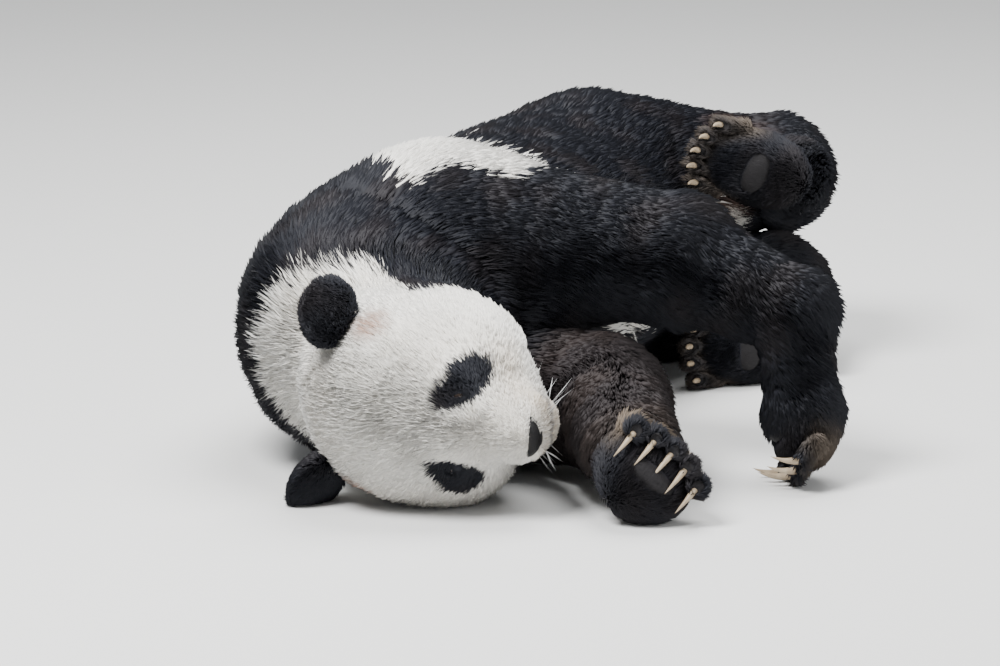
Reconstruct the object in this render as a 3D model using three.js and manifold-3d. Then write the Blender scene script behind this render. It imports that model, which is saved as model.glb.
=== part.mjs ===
// A giant panda asleep on its right side, as a still life-size model.
//
// Millimetres, +Z up. The animal faces -Y with its crown, its belly is towards +X and its back
// towards -X. The body is one smooth form, described by distance functions out to the tips of the
// coat, and parted with thin gaps into the parts that a person would name.
import * as THREE from "three";
import { mergeVertices } from "three/addons/utils/BufferGeometryUtils.js";
import Module from "manifold-3d";

const wasm = await Module();
wasm.setup();

// ---------------------------------------------------------------- driving dimensions

const GAP = 0.7; // clear space between two parts
const COARSE = 88; // mesh step on the trunk
const MEDIUM = 52; // mesh step on the limbs and neck
const HEAD_STEP = 26;
const PAW_STEP = 26;
const EAR_STEP = 21;
const NOSE_STEP = 13;
const REGION_STEP = 88; // largest mesh step of the surfaces that part one piece from the next
const MERGE = 0.05; // points of a cut piece that are closer than this become one
const REGION_RATIO = 2; // and how many of a part's own steps it may be

const TRUNK_TURN = 22; // degrees that the spine turns away from +Y, towards +X
const CHEST_CENTRE = [-118, 368, 184];
const CHEST_RADII = [262, 218, 190]; // along the spine, back to belly, across the body
const BELLY_CENTRE = [-4, 640, 182];
const BELLY_RADII = [330, 226, 186];
const RUMP_CENTRE = [104, 908, 176];
const RUMP_RADII = [262, 216, 182];

const HEAD_CENTRE = [-80, 20, 136];
const HEAD_TURN = 45; // degrees from -Y to the way the face looks, towards +X
const HEAD_DROP = 4; // degrees that the nose dips towards the floor
const HEAD_LEAN = 11; // degrees that the upper cheek leans forward

const EYE_RADIUS = 11.5;
const EYE_DEPTH = 7; // from the coat's surface down to the middle of the eyeball
const EYE_ROOT = [30, 22, 0]; // in the head's own frame: forward, left, crown
const EYE_WAY = [0.68, 0.38, 0.6]; // out of the head, through the middle of the eye
const EYE_DISH = 26; // radius of the hollow that the eye lies in
const EAR_SPOTS = { left: [-100, 113, 102], right: [-100, -119, 104] };
const EAR_RADII = [23, 47, 45];
const EAR_SPLAY = 33; // degrees that each ear leans outwards from the crown
const NOSE_SPOT = [150, 0, -20];
const NOSE_RADII = [17, 27, 19];

const TRUNK_LEAD = 18; // how far the trunk reaches up the root of each limb

const FORE_CLAW = { length: 36, radius: 5.5, bend: 12 };
const HIND_CLAW = { length: 28, radius: 5, bend: 8 };
const CLAW_ROOT = 9; // length of a claw that is sunk in its toe

const WHITE = { color: 0xe9e4d8, roughness: 0.9 };
const BLACK = { color: 0x16161a, roughness: 0.85 };
const WET_BLACK = { color: 0x0d0d0f, roughness: 0.35 };
const HORN = { color: 0xb9ab92, roughness: 0.5 };

// ---------------------------------------------------------------- small helpers

const vec = (list) => new THREE.Vector3(...list);
const radians = THREE.MathUtils.degToRad;

/** Columns of a basis whose first axis is `forward` and whose third is close to `up`. */
function basisOf(forward, up) {
  const x = forward.clone().normalize();
  const y = up.clone().cross(x).normalize();
  const z = x.clone().cross(y);
  return new THREE.Matrix4().makeBasis(x, y, z);
}

// The head's own frame: x towards the nose, y towards its left side, z towards the crown.
const headBasis = new THREE.Matrix4()
  .makeRotationY(radians(HEAD_DROP))
  .multiply(new THREE.Matrix4().makeRotationX(radians(HEAD_LEAN)))
  .multiply(basisOf(
    new THREE.Vector3(Math.sin(radians(HEAD_TURN)), -Math.cos(radians(HEAD_TURN)), 0),
    new THREE.Vector3(-Math.cos(radians(HEAD_TURN)), -Math.sin(radians(HEAD_TURN)), 0),
  ));
const headPoint = (list) => vec(list).applyMatrix4(headBasis).add(vec(HEAD_CENTRE));
const headDirection = (list) => vec(list).applyMatrix4(headBasis);

// The trunk's frame: x along the spine to the rump, y towards the back, z up.
const spineWay = new THREE.Vector3(
  Math.sin(radians(TRUNK_TURN)), Math.cos(radians(TRUNK_TURN)), 0);
const trunkBasis = basisOf(spineWay, new THREE.Vector3(0, 0, 1));

// ---------------------------------------------------------------- distance functions

/** An egg-like form; its distance is close to true near the surface. */
function egg(centre, radii, basis = new THREE.Matrix4()) {
  const inverse = basis.clone().invert();
  const r = vec(radii);
  const local = new THREE.Vector3();
  const field = (p) => {
    local.copy(p).sub(centre).applyMatrix4(inverse);
    const near = Math.hypot(local.x / r.x, local.y / r.y, local.z / r.z);
    const slope = Math.hypot(local.x / r.x ** 2, local.y / r.y ** 2, local.z / r.z ** 2);
    return slope < 1e-9 ? -Math.min(...radii) : (near * (near - 1)) / slope;
  };
  field.balls = [[centre, Math.max(...radii)]];
  return field;
}

/** A tapered rod with round ends. */
function rod(start, end, startRadius, endRadius) {
  const along = end.clone().sub(start);
  const lengthSquared = along.lengthSq();
  const offset = new THREE.Vector3();
  const field = (p) => {
    offset.copy(p).sub(start);
    const t = THREE.MathUtils.clamp(offset.dot(along) / lengthSquared, 0, 1);
    offset.addScaledVector(along, -t);
    return offset.length() - THREE.MathUtils.lerp(startRadius, endRadius, t);
  };
  field.balls = [[start, startRadius], [end, endRadius]];
  return field;
}

/** The smaller of two distances, rounded over a width k where they meet. */
function softMin(a, b, k) {
  const h = Math.max(k - Math.abs(a - b), 0) / k;
  return Math.min(a, b) - (h * h * k) / 4;
}

/** Several forms grown together, with their creases rounded over a width k. */
function grown(k, ...fields) {
  const field = (p) => fields.reduce((d, f) => softMin(d, f(p), k), 1e6);
  field.balls = fields.flatMap((f) => f.balls);
  return field;
}

/** A form with a shallow round dish pressed into it. */
function dished(form, dish, k) {
  const field = (p) => -softMin(-form(p), dish(p), k);
  field.balls = form.balls;
  return field;
}

// ---------------------------------------------------------------- head

function headForm() {
  const face = grown(
    34,
    egg(headPoint([-45, -5, 20]), [116, 121, 112], headBasis),
    egg(headPoint([2, 52, -26]), [88, 72, 90], headBasis),
    egg(headPoint([2, -62, -26]), [90, 78, 92], headBasis),
    egg(headPoint([44, 0, 26]), [64, 72, 60], headBasis),
    rod(headPoint([62, 0, -32]), headPoint([112, 0, -30]), 62, 48),
    rod(headPoint([60, 0, -72]), headPoint([110, 0, -62]), 46, 27),
  );
  const dishes = [1, -1].map((side) => {
    const rim = eyeLine(face, side, -EYE_DISH * 0.62);
    return egg(rim, [EYE_DISH, EYE_DISH, EYE_DISH]);
  });
  return dishes.reduce((form, dish) => dished(form, dish, 14), face);
}

/** The point on the line out through an eye that lies `depth` below a form's surface. */
function eyeLine(form, side, depth) {
  const point = headPoint([EYE_ROOT[0], side * EYE_ROOT[1], EYE_ROOT[2]]);
  const way = headDirection([EYE_WAY[0], side * EYE_WAY[1], EYE_WAY[2]]).normalize();
  for (let round = 0; round < 30; round += 1) point.addScaledVector(way, -(form(point) + depth));
  return point;
}

/** An ear is a thick round dish, set on the crown and leaning outwards. */
function earForm(side) {
  const splay = radians(EAR_SPLAY) * side;
  const up = headDirection([0, Math.sin(splay), Math.cos(splay)]);
  const forward = headDirection([0.94, 0.3 * side, 0]);
  const spot = side > 0 ? EAR_SPOTS.left : EAR_SPOTS.right;
  return egg(headPoint(spot), EAR_RADII, basisOf(forward, up));
}

const noseForm = () => egg(headPoint(NOSE_SPOT), NOSE_RADII, headBasis);

// ---------------------------------------------------------------- paws and feet

/**
 * A paw: a pad, five toes side by side, and where their claws start.
 * `reach` is the way that the paw points and `palm` the way that its pad faces. `curl` is how far
 * the toes bend towards the pad, and `clawTurn` how much further their claws do, in radians.
 */
function pawForm({ centre, reach, palm, size, curl, clawTurn }) {
  const toes = reach.clone().normalize();
  const down = palm.clone().addScaledVector(toes, -palm.dot(toes)).normalize();
  const across = down.clone().cross(toes);
  const [length, width, depth] = size;
  const basis = new THREE.Matrix4().makeBasis(toes, across, down);
  const parts = [egg(centre, [length, width, depth], basis)];
  const claws = [];
  const toeRadius = width * 0.27;
  for (let i = -2; i <= 2; i += 1) {
    const root = centre.clone()
      .addScaledVector(toes, length * (0.68 - 0.05 * i * i))
      .addScaledVector(across, width * 0.41 * i);
    const bent = (angle) => toes.clone()
      .multiplyScalar(Math.cos(angle)).addScaledVector(down, Math.sin(angle));
    const tip = root.clone().addScaledVector(bent(curl), length * 0.5);
    parts.push(rod(root, tip, toeRadius, toeRadius * 0.86));
    const angle = curl + clawTurn;
    claws.push({ tip, way: bent(angle), side: bent(angle + Math.PI / 2), toeRadius });
  }
  return { field: grown(9, ...parts), claws };
}

const paws = {
  paw_left: pawForm({
    centre: vec([390, 158, 76]), reach: vec([0.1, -0.35, -0.9]), palm: vec([-1, -0.2, 0]),
    size: [60, 60, 46], curl: 0.65, clawTurn: 0.8,
  }),
  paw_right: pawForm({
    centre: vec([180, -58, 59]), reach: vec([0.68, 0.1, 0.72]), palm: vec([-0.12, -1, -0.1]),
    size: [60, 64, 48], curl: 1.35, clawTurn: 1.15,
  }),
  foot_left: pawForm({
    centre: vec([358, 796, 296]), reach: vec([-0.93, -0.2, 0.36]), palm: vec([0, -1, -0.1]),
    size: [78, 55, 42], curl: 0.3, clawTurn: 0.4,
  }),
  foot_right: pawForm({
    centre: vec([340, 742, 54]), reach: vec([-0.9, -0.45, 0.1]), palm: vec([-0.4, -0.9, 0.1]),
    size: [78, 58, 44], curl: 0.3, clawTurn: 0.4,
  }),
};

// ---------------------------------------------------------------- the whole body

const rodOf = (a, b, ra, rb) => rod(vec(a), vec(b), ra, rb);

const forms = {
  ear_left: earForm(1),
  ear_right: earForm(-1),
  nose: noseForm(),
  head: headForm(),
  paw_right: paws.paw_right.field,
  arm_right_fore: rodOf([140, 166, 95], [166, 10, 82], 82, 64),
  arm_right_upper: rodOf([-60, 310, 100], [112, 214, 98], 104, 90),
  paw_left: paws.paw_left.field,
  // The upper wrist bends down over its own end, so that the paw hangs to the floor.
  arm_left_fore: grown(
    24,
    rodOf([238, 254, 268], [372, 190, 218], 80, 58),
    rodOf([372, 190, 218], [388, 162, 112], 58, 48),
  ),
  arm_left_upper: rodOf([-70, 330, 286], [206, 264, 274], 118, 88),
  foot_left: paws.foot_left.field,
  leg_left_shank: rodOf([402, 966, 256], [418, 862, 276], 76, 54),
  leg_left_thigh: rodOf([140, 930, 250], [374, 990, 256], 112, 84),
  foot_right: paws.foot_right.field,
  leg_right_shank: rodOf([398, 900, 88], [412, 800, 62], 78, 56),
  leg_right_thigh: rodOf([120, 920, 104], [370, 930, 94], 110, 88),
  tail: rodOf([160, 1128, 96], [206, 1200, 46], 64, 50),
  neck: rod(vec([-166, 250, 166]), headPoint([-66, 0, -22]), 152, 126),
  trunk: grown(
    120,
    egg(vec(CHEST_CENTRE), CHEST_RADII, trunkBasis),
    egg(vec(BELLY_CENTRE), BELLY_RADII, trunkBasis),
    egg(vec(RUMP_CENTRE), RUMP_RADII, trunkBasis),
  ),
};

const meshSteps = {
  ear_left: EAR_STEP,
  ear_right: EAR_STEP,
  nose: NOSE_STEP,
  head: HEAD_STEP,
  paw_left: PAW_STEP,
  paw_right: PAW_STEP,
  foot_left: PAW_STEP,
  foot_right: PAW_STEP,
  trunk: COARSE,
};

// Which parts grow out of which, and over what width their crease is rounded.
const joins = [
  ["ear_left", "head", 14],
  ["ear_right", "head", 14],
  ["nose", "head", 5],
  ["head", "neck", 60],
  ["neck", "trunk", 80],
  ["tail", "trunk", 40],
  ["arm_left_upper", "trunk", 90],
  ["arm_left_upper", "arm_left_fore", 40],
  ["arm_left_fore", "paw_left", 36],
  ["arm_right_upper", "trunk", 60],
  ["arm_right_upper", "arm_right_fore", 40],
  ["arm_right_fore", "paw_right", 36],
  ["leg_left_thigh", "trunk", 90],
  ["leg_left_thigh", "leg_left_shank", 40],
  ["leg_left_shank", "foot_left", 36],
  ["leg_right_thigh", "trunk", 60],
  ["leg_right_thigh", "leg_right_shank", 40],
  ["leg_right_shank", "foot_right", 36],
];

function wholeBody(p) {
  const distances = {};
  for (const [name, form] of Object.entries(forms)) distances[name] = form(p);
  return joins.reduce((d, [a, b, k]) => Math.min(d, softMin(distances[a], distances[b], k)), 1e6);
}

/** Negative where a point belongs to the named part rather than to any other. */
function regionOf(name) {
  const growsFromTrunk = joins.some(([part, from]) => part === name && from === "trunk");
  const rivals = Object.entries(forms).filter(([other]) => other !== name)
    .map(([other, form]) => [form, other === "trunk" && growsFromTrunk ? TRUNK_LEAD : 0]);
  return (p) => forms[name](p) - rivals.reduce((d, [form, lead]) => Math.min(d, form(p) - lead), 1e6);
}

// ---------------------------------------------------------------- surfaces from distances

/** The closed surface where `field` is zero inside a box, as a net with one point per cell. */
function netSurface(field, box, step) {
  const count = box.getSize(new THREE.Vector3()).divideScalar(step).ceil().addScalar(1);
  const [nx, ny, nz] = count.toArray();
  const stride = [1, nx, nx * ny];
  const at = new THREE.Vector3();
  const place = (x, y, z) => at.set(x, y, z).multiplyScalar(step).add(box.min);
  const values = new Float64Array(nx * ny * nz);
  for (let z = 0; z < nz; z += 1) {
    for (let y = 0; y < ny; y += 1) {
      for (let x = 0; x < nx; x += 1) {
        const edge = x === 0 || y === 0 || z === 0 || x === nx - 1 || y === ny - 1 || z === nz - 1;
        const value = field(place(x, y, z));
        values[x + y * nx + z * nx * ny] = edge ? Math.max(value, step * 0.5) : value;
      }
    }
  }
  while (untangle(values, count.toArray(), stride, step)) continue;
  const points = [];
  const pointOfCell = new Map();
  for (let z = 0; z < nz - 1; z += 1) {
    for (let y = 0; y < ny - 1; y += 1) {
      for (let x = 0; x < nx - 1; x += 1) {
        const point = cellPoint(values, stride, [x, y, z]);
        if (!point) continue;
        pointOfCell.set(x + y * nx + z * nx * ny, points.length);
        points.push(settle(field, point.multiplyScalar(step).add(box.min), step));
      }
    }
  }
  const triangles = [];
  for (let z = 0; z < nz - 1; z += 1) {
    for (let y = 0; y < ny - 1; y += 1) {
      for (let x = 0; x < nx - 1; x += 1) {
        const here = x + y * nx + z * nx * ny;
        for (let axis = 0; axis < 3; axis += 1) {
          const inside = values[here] < 0;
          if (inside === values[here + stride[axis]] < 0) continue;
          const u = stride[(axis + 1) % 3];
          const v = stride[(axis + 2) % 3];
          const ring = [here - u - v, here - v, here, here - u].map((c) => pointOfCell.get(c));
          addQuad(triangles, points, inside ? ring : ring.reverse());
        }
      }
    }
  }
  return { points, triangles };
}

/** True where a cell's inner corners, or its outer ones, aren't all joined along its edges. */
function isTangled(inner) {
  return [true, false].some((side) => {
    const corners = [0, 1, 2, 3, 4, 5, 6, 7].filter((c) => ((inner >> c) & 1) === Number(side));
    const reached = new Set(corners.slice(0, 1));
    for (const c of reached) {
      for (const bit of [1, 2, 4]) if (corners.includes(c ^ bit)) reached.add(c ^ bit);
    }
    return reached.size < corners.length;
  });
}
const tangled = Array.from({ length: 256 }, (_, inner) => isTangled(inner));

/** Fills the weakest outer corner of each tangled cell, so that no two sheets share an edge. */
function untangle(values, [nx, ny, nz], stride, step) {
  let changes = 0;
  for (let z = 1; z < nz - 2; z += 1) {
    for (let y = 1; y < ny - 2; y += 1) {
      for (let x = 1; x < nx - 2; x += 1) {
        const corners = [0, 1, 2, 3, 4, 5, 6, 7].map((c) =>
          (x + (c & 1)) * stride[0] + (y + ((c >> 1) & 1)) * stride[1] + (z + (c >> 2)) * stride[2]);
        const inner = corners.reduce((bits, at, c) => bits | (Number(values[at] < 0) << c), 0);
        if (!tangled[inner]) continue;
        const outer = corners.filter((at) => values[at] >= 0);
        const weakest = outer.reduce((a, b) => (values[b] < values[a] ? b : a));
        values[weakest] = -step * 0.2;
        changes += 1;
      }
    }
  }
  return changes;
}

/** The mean of the places where a cell's edges cross the surface, or null. */
function cellPoint(values, stride, corner) {
  const first = corner[0] * stride[0] + corner[1] * stride[1] + corner[2] * stride[2];
  const sum = new THREE.Vector3();
  let crossings = 0;
  for (let axis = 0; axis < 3; axis += 1) {
    const u = (axis + 1) % 3;
    const v = (axis + 2) % 3;
    for (let k = 0; k < 4; k += 1) {
      const du = k & 1;
      const dv = k >> 1;
      const start = first + du * stride[u] + dv * stride[v];
      const a = values[start];
      const b = values[start + stride[axis]];
      if (a < 0 === b < 0) continue;
      const place = [0, 0, 0];
      place[axis] = a / (a - b);
      place[u] = du;
      place[v] = dv;
      sum.add(vec(place));
      crossings += 1;
    }
  }
  return crossings ? sum.divideScalar(crossings).add(vec(corner)) : null;
}

/** Moves a point onto the surface, by less than half a step each time. */
function settle(field, point, step) {
  const h = step * 0.05;
  const slope = new THREE.Vector3();
  const probe = new THREE.Vector3();
  for (let round = 0; round < 3; round += 1) {
    const value = field(point);
    for (const axis of ["x", "y", "z"]) {
      probe.copy(point);
      probe[axis] += h;
      const ahead = field(probe);
      probe[axis] -= 2 * h;
      slope[axis] = (ahead - field(probe)) / (2 * h);
    }
    if (slope.lengthSq() < 0.01) break;
    const move = slope.multiplyScalar(-value / slope.lengthSq());
    point.add(move.clampLength(0, step * 0.3));
  }
  return point;
}

/** Splits a quad along its shorter diagonal. */
function addQuad(triangles, points, [a, b, c, d]) {
  if (points[a].distanceTo(points[c]) <= points[b].distanceTo(points[d])) {
    triangles.push([a, b, c], [a, c, d]);
  } else {
    triangles.push([b, c, d], [b, d, a]);
  }
}

// ---------------------------------------------------------------- solids

function solidFromNet({ points, triangles }) {
  return new wasm.Manifold(new wasm.Mesh({
    numProp: 3,
    vertProperties: new Float32Array(points.flatMap((p) => p.toArray())),
    triVerts: new Uint32Array(triangles.flat()),
  }));
}

function solidFromGeometry(geometry) {
  const bare = geometry.clone();
  bare.deleteAttribute("normal");
  bare.deleteAttribute("uv");
  const merged = mergeVertices(bare, MERGE);
  const corners = merged.index.array;
  const kept = [];
  for (let i = 0; i < corners.length; i += 3) {
    const [a, b, c] = corners.slice(i, i + 3);
    if (a !== b && b !== c && c !== a) kept.push(a, b, c);
  }
  return new wasm.Manifold(new wasm.Mesh({
    numProp: 3,
    vertProperties: new Float32Array(merged.attributes.position.array),
    triVerts: new Uint32Array(kept),
  }));
}

function geometryOf(solid) {
  const mesh = solid.getMesh();
  const positions = new Float32Array(mesh.numVert * 3);
  for (let i = 0; i < mesh.numVert; i += 1) {
    for (let axis = 0; axis < 3; axis += 1) {
      positions[3 * i + axis] = mesh.vertProperties[mesh.numProp * i + axis];
    }
  }
  const geometry = new THREE.BufferGeometry();
  geometry.setAttribute("position", new THREE.BufferAttribute(positions, 3));
  geometry.setIndex(new THREE.BufferAttribute(new Uint32Array(mesh.triVerts), 1));
  geometry.computeVertexNormals();
  return geometry;
}

/** The largest of the pieces that a cut leaves, once its closest points are merged. */
function mainPiece(solid) {
  const largest = (pieces) => pieces.reduce((a, b) => (b.volume() > a.volume() ? b : a));
  const piece = largest(solid.decompose());
  return largest(solidFromGeometry(geometryOf(piece)).decompose());
}

/** The same net, moved outwards by a small distance. */
function swollen(net, distance) {
  const normals = net.points.map(() => new THREE.Vector3());
  for (const [a, b, c] of net.triangles) {
    const normal = net.points[b].clone().sub(net.points[a])
      .cross(net.points[c].clone().sub(net.points[a]));
    for (const i of [a, b, c]) normals[i].add(normal);
  }
  return {
    points: net.points.map((p, i) => p.clone().addScaledVector(normals[i].normalize(), distance)),
    triangles: net.triangles,
  };
}

function boxAround(form, margin) {
  const box = new THREE.Box3();
  for (const [centre, radius] of form.balls) {
    box.union(new THREE.Box3().setFromCenterAndSize(centre, new THREE.Vector3().setScalar(2 * radius)));
  }
  return box.expandByScalar(margin);
}

// Everything below the floor is cut away, which leaves the flats that the animal lies on.
const FLOOR_DEPTH = 400;
const belowFloor = new THREE.BoxGeometry(4000, 4000, FLOOR_DEPTH)
  .translate(0, 500, -FLOOR_DEPTH / 2);

/** A claw: a cone that bends towards the pad, with its root sunk in the toe. */
function clawGeometry({ tip, way, side, toeRadius }, { length, radius, bend }, extra = 0) {
  const geometry = new THREE.ConeGeometry(radius + extra, length + 2 * extra, 5, 2);
  const position = geometry.attributes.position;
  for (let i = 0; i < position.count; i += 1) {
    const t = position.getY(i) / length + 0.5;
    position.setX(i, position.getX(i) + bend * t * t);
  }
  geometry.applyMatrix4(new THREE.Matrix4().makeBasis(side, way, side.clone().cross(way)));
  const centre = tip.clone().addScaledVector(way, toeRadius * 0.86 + length / 2 - CLAW_ROOT);
  return geometry.translate(...centre.toArray());
}

// ---------------------------------------------------------------- assembly

const model = new THREE.Group();

function addPart(name, geometry, look) {
  const mesh = new THREE.Mesh(geometry, new THREE.MeshStandardMaterial({ metalness: 0, ...look }));
  mesh.name = name;
  model.add(mesh);
}

const eyeSides = { eye_left: 1, eye_right: -1 };
function eyeGeometry(side, extra = 0) {
  const centre = eyeLine(forms.head, side, EYE_DEPTH);
  return new THREE.SphereGeometry(EYE_RADIUS + extra, 8, 6).translate(...centre.toArray());
}

const floorSolid = solidFromGeometry(belowFloor);
const whiteParts = ["head", "neck", "trunk", "tail"];
const takenRegions = [];

for (const name of Object.keys(forms)) {
  const step = meshSteps[name] ?? MEDIUM;
  const box = boxAround(forms[name], 2.2 * step + 24);
  let solid = solidFromNet(netSurface(wholeBody, box, step)).subtract(floorSolid);
  for (const region of takenRegions) {
    if (region.box.intersectsBox(box)) solid = solid.subtract(region.solid);
  }
  if (name !== "trunk") {
    const regionStep = Math.min(REGION_STEP, REGION_RATIO * step);
    const regionBox = boxAround(forms[name], 1.2 * step + 20);
    const net = netSurface(regionOf(name), regionBox, regionStep);
    const region = solidFromNet(net);
    solid = solid.intersect(region);
    takenRegions.push({ box: regionBox, solid: region.add(solidFromNet(swollen(net, GAP))) });
  }
  if (name === "head") {
    for (const side of Object.values(eyeSides)) {
      solid = solid.subtract(solidFromGeometry(eyeGeometry(side, GAP)));
    }
  }
  const spec = name.startsWith("paw") ? FORE_CLAW : HIND_CLAW;
  (paws[name]?.claws ?? []).forEach((claw, i) => {
    const room = clawGeometry(claw, spec, GAP);
    const roomSolid = solidFromGeometry(room);
    solid = solid.subtract(roomSolid);
    room.computeBoundingBox();
    takenRegions.push({ box: room.boundingBox, solid: roomSolid });
    addPart(`claw_${name}_${i + 1}`, clawGeometry(claw, spec), HORN);
  });
  const look = name === "nose" ? WET_BLACK : whiteParts.includes(name) ? WHITE : BLACK;
  addPart(name, geometryOf(mainPiece(solid)), look);
}

for (const [name, side] of Object.entries(eyeSides)) addPart(name, eyeGeometry(side), WET_BLACK);

// The origin is on the floor, below the middle of the whole animal.
const middle = new THREE.Box3().setFromObject(model).getCenter(new THREE.Vector3());
model.position.set(-middle.x, -middle.y, 0);

export default model;
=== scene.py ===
"""A giant panda asleep on its right side: skin, coat, eyes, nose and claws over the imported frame.

Forms are worked out in millimetres in the part's own drawing frame (the crown of the head
points to -Y, the belly to +X) and moved into the row frame, in metres, when a mesh is made.
"""
import math
import bpy
import numpy as np
from mathutils import Matrix, Vector


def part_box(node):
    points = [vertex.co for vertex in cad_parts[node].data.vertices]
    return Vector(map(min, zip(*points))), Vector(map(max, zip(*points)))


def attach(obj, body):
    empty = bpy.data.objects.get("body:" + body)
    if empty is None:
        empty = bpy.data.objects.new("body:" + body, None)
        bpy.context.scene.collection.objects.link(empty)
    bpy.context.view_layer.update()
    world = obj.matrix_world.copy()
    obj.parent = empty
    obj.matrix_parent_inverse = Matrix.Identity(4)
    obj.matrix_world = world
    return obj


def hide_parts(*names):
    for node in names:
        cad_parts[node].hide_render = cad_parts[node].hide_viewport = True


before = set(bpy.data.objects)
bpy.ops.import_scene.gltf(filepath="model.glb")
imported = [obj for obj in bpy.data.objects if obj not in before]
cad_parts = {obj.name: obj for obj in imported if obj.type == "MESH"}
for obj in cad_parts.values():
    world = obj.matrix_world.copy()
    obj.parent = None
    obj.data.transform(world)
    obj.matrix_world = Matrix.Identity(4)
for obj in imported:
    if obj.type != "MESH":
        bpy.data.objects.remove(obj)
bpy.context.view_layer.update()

rng = np.random.default_rng(7)

# -------- dimensions, as in the part

HEAD_CENTRE = np.array([-80.0, 20.0, 136.0])
HEAD_TURN, HEAD_DROP, HEAD_LEAN = 45, 4, 11
HEAD_REACH = 190  # details of the face are worked out this near to the head's middle
TRUNK_TURN = 22
CHEST_CENTRE = np.array([-118.0, 368.0, 184.0])

EYE_RADIUS = 11.5
EYE_DEPTH = 7
EYE_ROOT = [30, 22, 0]
EYE_WAY = [0.68, 0.38, 0.6]
EYE_DISH = 26
EAR_SPOTS = {1: [-100, 113, 102], -1: [-100, -119, 104]}
EAR_RADII = [23, 47, 45]
EAR_SPLAY = 33
EAR_SIDES = {"ear_left": 1, "ear_right": -1}

FLOOR_GAP = 3.0  # how far the skin stays above the floor; the coat fills the rest

# -------- frames


def unit(v):
    v = np.asarray(v, float)
    return v / np.linalg.norm(v, axis=-1, keepdims=v.ndim > 1)


def basis_of(forward, up):
    """Columns: forward, then up x forward, then the rest of a right-handed frame."""
    x = unit(forward)
    y = unit(np.cross(up, x))
    return np.column_stack([x, y, np.cross(x, y)])


def turn(axis, degrees):
    return np.array(Matrix.Rotation(math.radians(degrees), 3, axis))


facing = math.radians(HEAD_TURN)
HEAD = (
    turn("Y", HEAD_DROP)
    @ turn("X", HEAD_LEAN)
    @ basis_of(
        [math.sin(facing), -math.cos(facing), 0], [-math.cos(facing), -math.sin(facing), 0]
    )
)
spine = math.radians(TRUNK_TURN)
TRUNK = basis_of([math.sin(spine), math.cos(spine), 0], [0, 0, 1])


def head_point(p):
    """From the head's frame (towards the nose, to its left, towards the crown) to the part's."""
    return np.asarray(p, float) @ HEAD.T + HEAD_CENTRE


def head_way(v):
    return unit(np.asarray(v, float) @ HEAD.T)


def in_head(p):
    return (p - HEAD_CENTRE) @ HEAD


def mirrored(q):
    """Points of the head's frame, with those on its right moved to its left."""
    return np.column_stack([q[:, 0], np.abs(q[:, 1]), q[:, 2]])


def by_head(q):
    """Whether points of the head's frame are near the head at all."""
    return np.abs(q).max(1) < HEAD_REACH


def in_trunk(p):
    """Along the spine to the rump, towards the back, and up, from the middle of the chest."""
    return (p - CHEST_CENTRE) @ TRUNK


# -------- distance functions


def egg(centre, radii, basis=np.eye(3)):
    centre = np.asarray(centre, float)
    r = np.asarray(radii, float)

    def field(p):
        q = (p - centre) @ basis
        near = np.sqrt(((q / r) ** 2).sum(1))
        slope = np.sqrt(((q / r**2) ** 2).sum(1))
        return near * (near - 1) / np.maximum(slope, 1e-9)

    return field


def rod(start, end, start_radius, end_radius):
    start = np.asarray(start, float)
    along = np.asarray(end, float) - start

    def field(p):
        offset = p - start
        t = np.clip(offset @ along / (along @ along), 0, 1)
        gap = np.linalg.norm(offset - t[:, None] * along, axis=1)
        return gap - (start_radius + (end_radius - start_radius) * t)

    return field


def soft_min(a, b, k):
    h = np.maximum(k - np.abs(a - b), 0) / k
    return np.minimum(a, b) - h * h * k / 4


def carve(form, hole, k):
    """Takes a hole out of a form, its edge rounded over a width k."""
    return -soft_min(-form, hole, k)


def grown(k, *fields):
    """One form that grows together out of several, each crease filled over a width k."""

    def field(p):
        d = fields[0](p)
        for f in fields[1:]:
            d = soft_min(d, f(p), k)
        return d

    return field


def slope_of(field, p, h=0.4, here=None):
    """The unit way in which a field grows fastest."""
    here = field(p) if here is None else here
    g = np.stack([field(p + h * axis) - here for axis in np.eye(3)], 1)
    return g / np.maximum(np.linalg.norm(g, axis=1, keepdims=True), 1e-9)


def within(form, centre, radius):
    """A form that is only worked out near the ball that holds it; beyond, the ball stands in."""
    centre = np.asarray(centre, float)

    def field(p):
        d = np.linalg.norm(p - centre, axis=1) - radius
        near = (d < 95).nonzero()[0]
        if len(near):
            d[near] = form(p[near])
        return d

    return field


# -------- the parts of the animal


def face_form():
    return grown(
        34,
        egg(head_point([-45, -5, 20]), [116, 121, 112], HEAD),
        egg(head_point([2, 52, -26]), [88, 72, 90], HEAD),
        egg(head_point([2, -62, -26]), [90, 78, 92], HEAD),
        egg(head_point([44, 0, 26]), [64, 72, 60], HEAD),
        rod(head_point([62, 0, -32]), head_point([112, 0, -30]), 62, 48),
        rod(head_point([60, 0, -72]), head_point([110, 0, -62]), 46, 27),
    )


def eye_line(form, side, depth):
    """The point on the line out through an eye that lies `depth` below a form's surface."""
    point = head_point([EYE_ROOT[0], side * EYE_ROOT[1], EYE_ROOT[2]])
    way = head_way([EYE_WAY[0], side * EYE_WAY[1], EYE_WAY[2]])
    for _ in range(30):
        point = point - way * (form(point[None])[0] + depth)
    return point


def dished(form, dish, k):
    return lambda p: carve(form(p), dish(p), k)


def head_form():
    form = face = face_form()
    for side in (1, -1):
        rim = eye_line(face, side, -EYE_DISH * 0.62)
        form = dished(form, egg(rim, [EYE_DISH] * 3), 14)
    return form


def ear_basis(side):
    splay = math.radians(EAR_SPLAY) * side
    up = head_way([0, math.sin(splay), math.cos(splay)])
    return basis_of(head_way([0.94, 0.3 * side, 0]), up)


def ear_spot(side):
    return head_point(EAR_SPOTS[side])


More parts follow.
